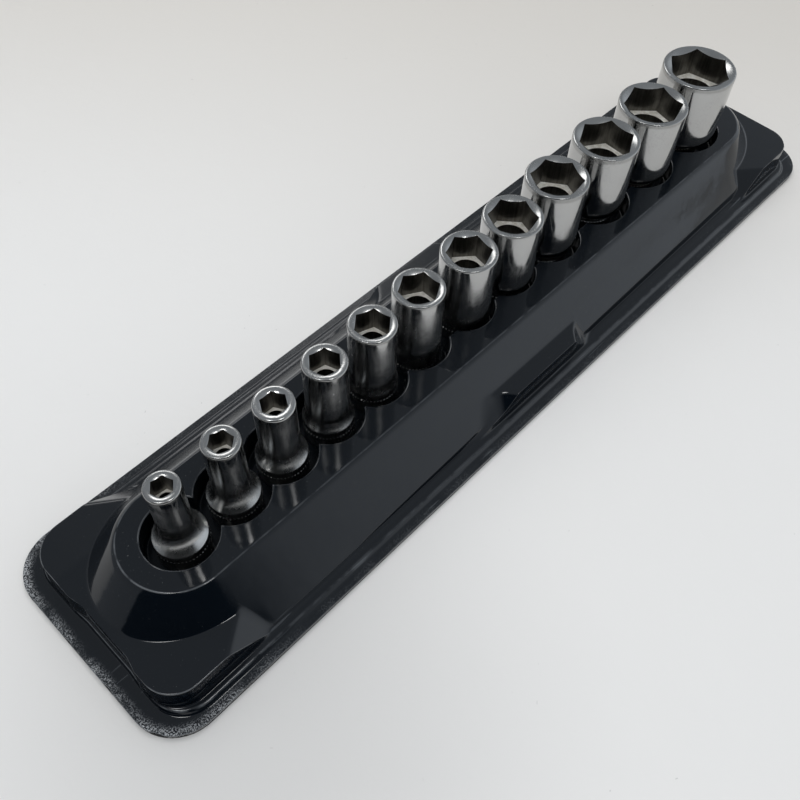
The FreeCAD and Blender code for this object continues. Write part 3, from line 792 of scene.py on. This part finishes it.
for number, ((x, _), (y, flats, nose, length, depth, turn)) in enumerate(zip(POCKETS, SOCKETS), 1):
    name = f"socket_{number:02d}"
    socket = turned_piece(f"chrome_{number:02d}", socket_section(flats, nose, length))
    raise_knurl(socket, *knurl_band(nose))
    corner_radius, step_z = flats / math.sqrt(3), length - depth
    hexagon = cutter("hexagon_cutter", 6, corner_radius, step_z, length + PAST_TOP)
    round_uprights(hexagon)
    cut_away(socket, hexagon)
    cut_away(socket, cutter("bore_cutter", 64, flats * BORE_SHARE, BORE_FOOT, step_z + PAST_STEP))
    half_diagonal = DRIVE_SQUARE / math.sqrt(2)
    cut_away(socket, cutter("drive_cutter", 4, half_diagonal, -PAST_BASE, DRIVE_TOP, turn=math.pi / 4))
    cut_away(socket, cutter("link_cutter", 32, LINK_RADIUS, *LINK_ENDS))
    socket.data.transform(Matrix.Translation(Vector((x, y, SOCKET_Z)) * MM)
                          @ Matrix.Rotation(math.radians(turn), 4, "Z"))
    only(socket)
    bpy.ops.object.shade_smooth_by_angle(angle=SHARP_ANGLE)
    weigh_normals(socket, keep_sharp=True)
    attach(socket, name)
    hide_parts(name)
    socket.data.materials.clear()
    for finish in (chrome, bore, seat):
        socket.data.materials.append(finish.material)
    # The walls of the holes, short of both ends, take the dark copy of the chrome as painted shade; the
    # hexagon's step takes the pale painted highlight.
    for face in socket.data.polygons:
        middle = face.center / MM - Vector((x, y, SOCKET_Z))
        from_axis, level_face = math.hypot(middle.x, middle.y), abs(face.normal.z) > 0.7
        if from_axis < corner_radius and 0.5 < middle.z < length - 0.6 and not level_face:
            face.material_index = 1
        if from_axis < flats / 2 and 1 < middle.z < step_z + 1 and level_face:
            face.material_index = 2

# ---------------------------------------------------------------- the bottom cover
# A flat sheet of matt black plastic closes the tray from below. It is cut to the flange's outline
# and welded to it all round; its underside carries the marks of the bench it slides on.
cover_finish = Finish("matt_black_sheet")
grain = cover_finish.noise(1500, 3.0, 0.65)
paler_marks = cover_finish.between(cover_finish.noise(300, 3.0, 0.6, stretch=(0.06, 1.0, 1.0)), 0.52, 0.68)
cover_colour = cover_finish.blend(paler_marks * 0.5, (0.012, 0.012, 0.013, 1), (0.060, 0.060, 0.062, 1))
cover_finish.set(Base_Color=cover_colour, Roughness=0.50 + grain * 0.20 - paler_marks * 0.12,
                 Normal=cover_finish.bump(grain, 0.00006))


def dress(name, finish):
    """A solid that is already right in shape takes its finish in each of its material slots."""
    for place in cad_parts[name].material_slots:
        place.material = finish.material


dress("bottom_cover", cover_finish)

# ---------------------------------------------------------------- the bar magnets
# Four bars of sintered ferrite, dull dark grey and slightly grainy, lie end to end under the
# pockets and hold the sockets down. They are glued to the underside of the cups.
ferrite = Finish("sintered_ferrite")
grains = ferrite.noise(1800, 4.0, 0.7)
clouds = ferrite.between(ferrite.noise(90, 3.0), 0.35, 0.70)
ferrite_colour = ferrite.blend(clouds * 0.6 + grains * 0.4,
                               (0.030, 0.031, 0.034, 1), (0.085, 0.085, 0.088, 1))
ferrite.set(Base_Color=ferrite_colour, Roughness=0.55 + grains * 0.2, Normal=ferrite.bump(grains, 0.00008))
for number in range(1, 5):
    dress(f"bar_magnet_{number}", ferrite)

# ---------------------------------------------------------------- the keeper bar
# A flat strip of mild steel, rolled bright and oiled, lies against the backs of the magnets and
# closes their field. Rolling leaves fine lines along it, and it has freckled a little.
steel = Finish("rolled_mild_steel")
rolled = steel.noise(1400, 3.0, 0.6, stretch=(0.03, 1.0, 1.0))
freckles = (steel.between(steel.noise(700, 2.0, 0.6), 0.66, 0.76)
            * steel.between(steel.noise(60, 2.0), 0.48, 0.66))
metal = steel.blend(rolled, (0.42, 0.42, 0.43, 1), (0.60, 0.60, 0.61, 1))
steel.set(Base_Color=steel.blend(freckles, metal, (0.16, 0.075, 0.035, 1)), Metallic=1 - freckles * 0.9,
          Roughness=0.26 + rolled * 0.16 + freckles * 0.4, Normal=steel.bump(rolled, 0.00003))
dress("keeper_bar", steel)

# ---------------------------------------------------------------- the foam blocks
# Three blocks of black closed-cell foam, cut from sheet, fill the height between the keeper bar
# and the bottom cover and press the magnets up. Their cut faces show the open cells.
foam = Finish("closed_cell_foam")
cells = foam.node("ShaderNodeTexVoronoi", {"feature": "DISTANCE_TO_EDGE"},
                  {"Vector": foam.place, "Scale": 1400.0})["Distance"]
walls = 1 - foam.between(cells, 0.03, 0.22)
foam.set(Base_Color=foam.blend(walls, (0.018, 0.018, 0.019, 1), (0.075, 0.075, 0.078, 1)), Roughness=0.92,
         Normal=foam.bump(walls, 0.00015))
for number in range(1, 4):
    dress(f"foam_block_{number}", foam)

# ---------------------------------------------------------------- floor, light and camera
# A pale table top with painted shade toward its far side and a painted soft shadow in front of the tray's
# small end, soft daylight from above, and a camera that looks down on the tray from the small end. The room
# lights the tray and is mirrored in it, while the lens itself sees a plain pale wall. From here on lengths
# are in metres.
FLOOR_SIZE, FLOOR_DROP = 6, 0.0002
NEAR_FLOOR, SHADED_FAR_FLOOR = (0.825, 0.802, 0.772, 1), (0.655, 0.613, 0.557, 1)
SHADE_BLACK, SPECK_GREY = (0.02, 0.02, 0.02, 1), (0.25, 0.24, 0.22, 1)
SHADE_X, SHADE_Y = -0.165, -0.055   # a soft shadow is painted on the floor around here
select_none()
bpy.ops.mesh.primitive_plane_add(size=FLOOR_SIZE)
floor = named("pale_floor")
floor.data.transform(Matrix.Translation((0, 0, -FLOOR_DROP)))
table = Finish("pale_table")
table_x, table_y, _ = table.apart()
# The table is darker and warmer toward its far side: painted shade.
farther = table.between(table_x * 0.8 + table_y * 0.6, -0.05, 0.28)
beside_x, beside_y = table_x - SHADE_X, table_y - SHADE_Y
beside = (beside_x * beside_x + beside_y * beside_y) ** 0.5
# A soft shadow painted on the floor in front of the tray's small end.
shade = (1 - table.between(beside, 0.01, 0.125)) * 0.20
cloudy = table.noise(9, 3.0, 0.5)
specks = (table.between(table.noise(420, 2.0, 0.55), 0.735, 0.77)
          * table.between(table.noise(14, 1.0), 0.46, 0.62))
top_colour = table.blend(farther, NEAR_FLOOR, SHADED_FAR_FLOOR)
top_colour = table.blend(shade + (cloudy - 0.4) * 0.03, top_colour, SHADE_BLACK)
table.set(Base_Color=table.blend(specks * 0.35, top_colour, SPECK_GREY), Roughness=0.6,
          Normal=table.bump(table.noise(55, 4.0, 0.55), 0.0004))
floor.data.materials.append(table.material)

WINDOW_WAY = math.radians(-35)
DIM, DAYLIGHT, WALL_COLOUR = 0.34, (0.93, 1.0, 1.08, 1), (0.80, 0.785, 0.76, 1)
world = bpy.data.worlds.new("pale_room")
bpy.context.scene.world = world
room = Finish("room", world)
room_x, room_y, room_z = room.apart()
flat_length = (room_x * room_x + room_y * room_y + 0.0001) ** 0.5
window = (room_x * math.cos(WINDOW_WAY) + room_y * math.sin(WINDOW_WAY)) / flat_length
wall = DIM + room.between(window, 0.60, 0.97) * 0.45
ceiling = DIM + room.between(window, -0.2, 0.8) * 0.05
high_up = room.between(room_z, 0.12, 0.86)
low_glow = room.between(window, 0.3, 0.95) * room.between(0.75 - room_z, 0.0, 0.5) * 0.14
brightness = wall * (1 - high_up) + ceiling * high_up + low_glow
path = room.node("ShaderNodeLightPath")
seen, spread = path["Is Camera Ray"], path["Is Diffuse Ray"]
room.set(Color=room.blend(seen, DAYLIGHT, WALL_COLOUR),
         Strength=brightness * (1 + spread * 0.45) * (1 - seen) + seen)


def toward(azimuth, elevation):
    """The direction at these angles, in degrees."""
    az, el = math.radians(azimuth), math.radians(elevation)
    return Vector((math.cos(el) * math.cos(az), math.cos(el) * math.sin(az), math.sin(el)))


def panel(name, azimuth, elevation, away, width, height, watts, mirrored):
    """A soft lamp that faces the tray; the gloss may mirror it or not."""
    lamp = bpy.data.lights.new(name, "AREA")
    lamp.shape = "RECTANGLE"
    lamp.size, lamp.size_y, lamp.energy = width, height, watts
    made = bpy.data.objects.new(name, lamp)
    bpy.context.scene.collection.objects.link(made)
    facing = toward(azimuth, elevation)
    turned = facing.to_track_quat("Z", "Y").to_matrix().to_4x4()
    made.matrix_world = Matrix.Translation(facing * away) @ turned
    made.visible_glossy = mirrored
    return made


panel("soft_daylight", 62, 58, 1.8, 1.5, 1.5, 11.0, False)
panel("window_light", 64, 40, 1.8, 0.85, 0.5, 4.8, True).visible_diffuse = False
panel("left_strip", -178, 67, 1.6, 0.28, 0.30, 2.8, True)
panel("right_strip", -99, 67, 1.6, 0.28, 0.30, 2.8, True)

# A dark cloth hangs behind the camera; only the gloss of the tray and the sockets shows it.
CLOTH_TURN = math.radians(-41)
CLOTH_SIZE, CLOTH_SHIFT, CLOTH_LIFT = (1.2, 0.5, 1, 1), 0.02, 0.26
CLOTH_AWAY, CLOTH_FROM = 0.23, Vector((-0.15, -0.01, 0))
centre = toward(-131, 0) * CLOTH_AWAY + CLOTH_FROM
bpy.ops.mesh.primitive_plane_add(size=1)
cloth = named("dark_cloth")
cloth.data.transform(Matrix.Rotation(CLOTH_TURN, 4, "Z") @ Matrix.Translation((CLOTH_SHIFT, 0, CLOTH_LIFT))
                     @ Matrix.Rotation(math.radians(90), 4, "X") @ Matrix.Diagonal(CLOTH_SIZE))
cloth.data.transform(Matrix.Translation(centre))
wool = Finish("dark_wool")
spot_x, spot_y, spot_z = wool.apart()
across_cloth = (spot_x - centre.x) * math.cos(CLOTH_TURN) + (spot_y - centre.y) * math.sin(CLOTH_TURN)
wool.set(Base_Color=(0.004, 0.006, 0.007, 1), Roughness=0.9,
         Alpha=1 - wool.between(across_cloth, 0.20, 0.38) - wool.between(-1 * across_cloth, 0.30, 0.33)
         - wool.between(spot_z, 0.34, 0.46))
cloth.data.materials.append(wool.material)
cloth.visible_camera = cloth.visible_diffuse = cloth.visible_shadow = cloth.visible_transmission = False

CAMERA_AT = (-0.1848, -0.1260, 0.2707)
CAMERA_AZIMUTH, CAMERA_ELEVATION, CAMERA_ROLL = -138.36, 55.45, math.radians(2.70)
lens = bpy.data.cameras.new("camera")
lens.sensor_width, lens.lens, lens.clip_start = 36.0, 39.59, 0.01
camera = bpy.data.objects.new("camera", lens)
bpy.context.scene.collection.objects.link(camera)
back = toward(CAMERA_AZIMUTH, CAMERA_ELEVATION)
right = Vector((-math.sin(math.radians(CAMERA_AZIMUTH)), math.cos(math.radians(CAMERA_AZIMUTH)), 0))
up = back.cross(right)
across = right * math.cos(CAMERA_ROLL) + up * math.sin(CAMERA_ROLL)
upward = up * math.cos(CAMERA_ROLL) - right * math.sin(CAMERA_ROLL)
turned = Matrix((across, upward, back)).transposed().to_4x4()
camera.matrix_world = Matrix.Translation(CAMERA_AT) @ turned
bpy.context.scene.camera = camera
bpy.context.scene.view_settings.view_transform = "Standard"
